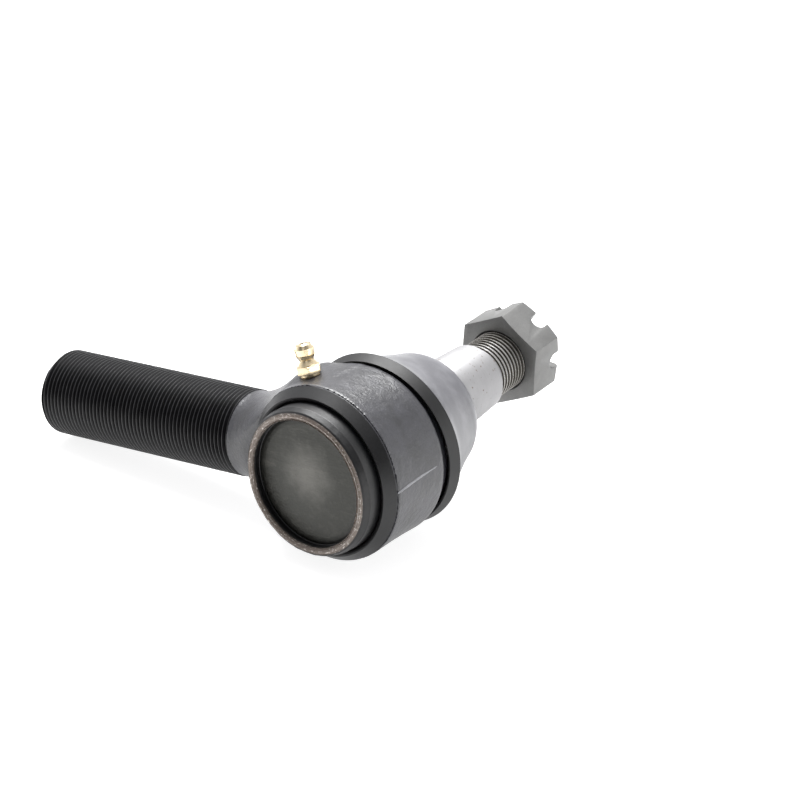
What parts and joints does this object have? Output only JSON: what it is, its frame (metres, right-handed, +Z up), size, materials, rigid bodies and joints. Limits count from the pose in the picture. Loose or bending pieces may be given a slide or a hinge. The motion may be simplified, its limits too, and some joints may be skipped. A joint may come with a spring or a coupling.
{
  "type": "tie rod end",
  "caption": "Tie rod end: threaded shank with a greased ball socket, rubber dust boot, tapered ball stud and slotted hexagon nut.",
  "frame": {"origin": "centre of the ball", "axes": "+Z up, threaded shank along -X, socket axis along Y with the stud leaving towards +Y"},
  "size_m": [0.1726, 0.1326, 0.0738],
  "materials": {
    "forging_paint": "satin",
    "bearing_steel": "ground",
    "spring_steel": "satin",
    "cover_phosphate": "matte",
    "gasket_fibre": "matte",
    "stud_steel": "ground",
    "nut_phosphate": "satin",
    "boot_rubber": "matte",
    "fitting_plate": "gloss"
  },
  "bodies": {
    "socket": {"housing": "forging_paint", "upper_race": "bearing_steel", "disc_spring": "spring_steel", "end_cover": "cover_phosphate", "cover_gasket": "gasket_fibre", "grease_fitting": "fitting_plate", "check_spring": "spring_steel"},
    "boot": {"dust_boot": "boot_rubber"},
    "boot_collar": {"boot_ring": "spring_steel"},
    "stud": {"ball_stud": "stud_steel"},
    "nut": {"slotted_nut": "nut_phosphate"},
    "seat": {"lower_seat": "bearing_steel"},
    "check": {"check_ball": "bearing_steel"}
  },
  "joints": [
    {"name": "swing_along", "type": "hinge", "parent": "socket", "child": "boot", "pos_m": [0, 0, 0], "axis": [1, 0, 0], "range_deg": [-21.8, 14.1], "deforming": ["dust_boot"]},
    {"name": "swing_across", "type": "hinge", "parent": "boot", "child": "boot_collar", "pos_m": [0, 0, 0], "axis": [0, -0.067, 0.9978], "range_deg": [-20.7, 15.2], "deforming": ["dust_boot"]},
    {"name": "stud_spin", "type": "hinge", "parent": "boot_collar", "child": "stud", "pos_m": [0, 0, 0], "axis": [-0.048, 0.9966, 0.0669], "continuous": true},
    {"name": "nut_travel", "type": "slide", "parent": "stud", "child": "nut", "axis": [-0.048, 0.9966, 0.0669], "range_m": [-0.0133, 0.012]},
    {"name": "seat_travel", "type": "slide", "parent": "socket", "child": "seat", "axis": [0, -1, 0], "range_m": [0, 0.0008], "stiffness_N_per_m": 20000, "springref_m": -0.001, "deforming": ["disc_spring"]},
    {"name": "check_travel", "type": "slide", "parent": "socket", "child": "check", "axis": [0.1822, 0, -0.9833], "range_m": [0, 0.0008], "stiffness_N_per_m": 200, "springref_m": -0.001, "deforming": ["check_spring"]}
  ]
}
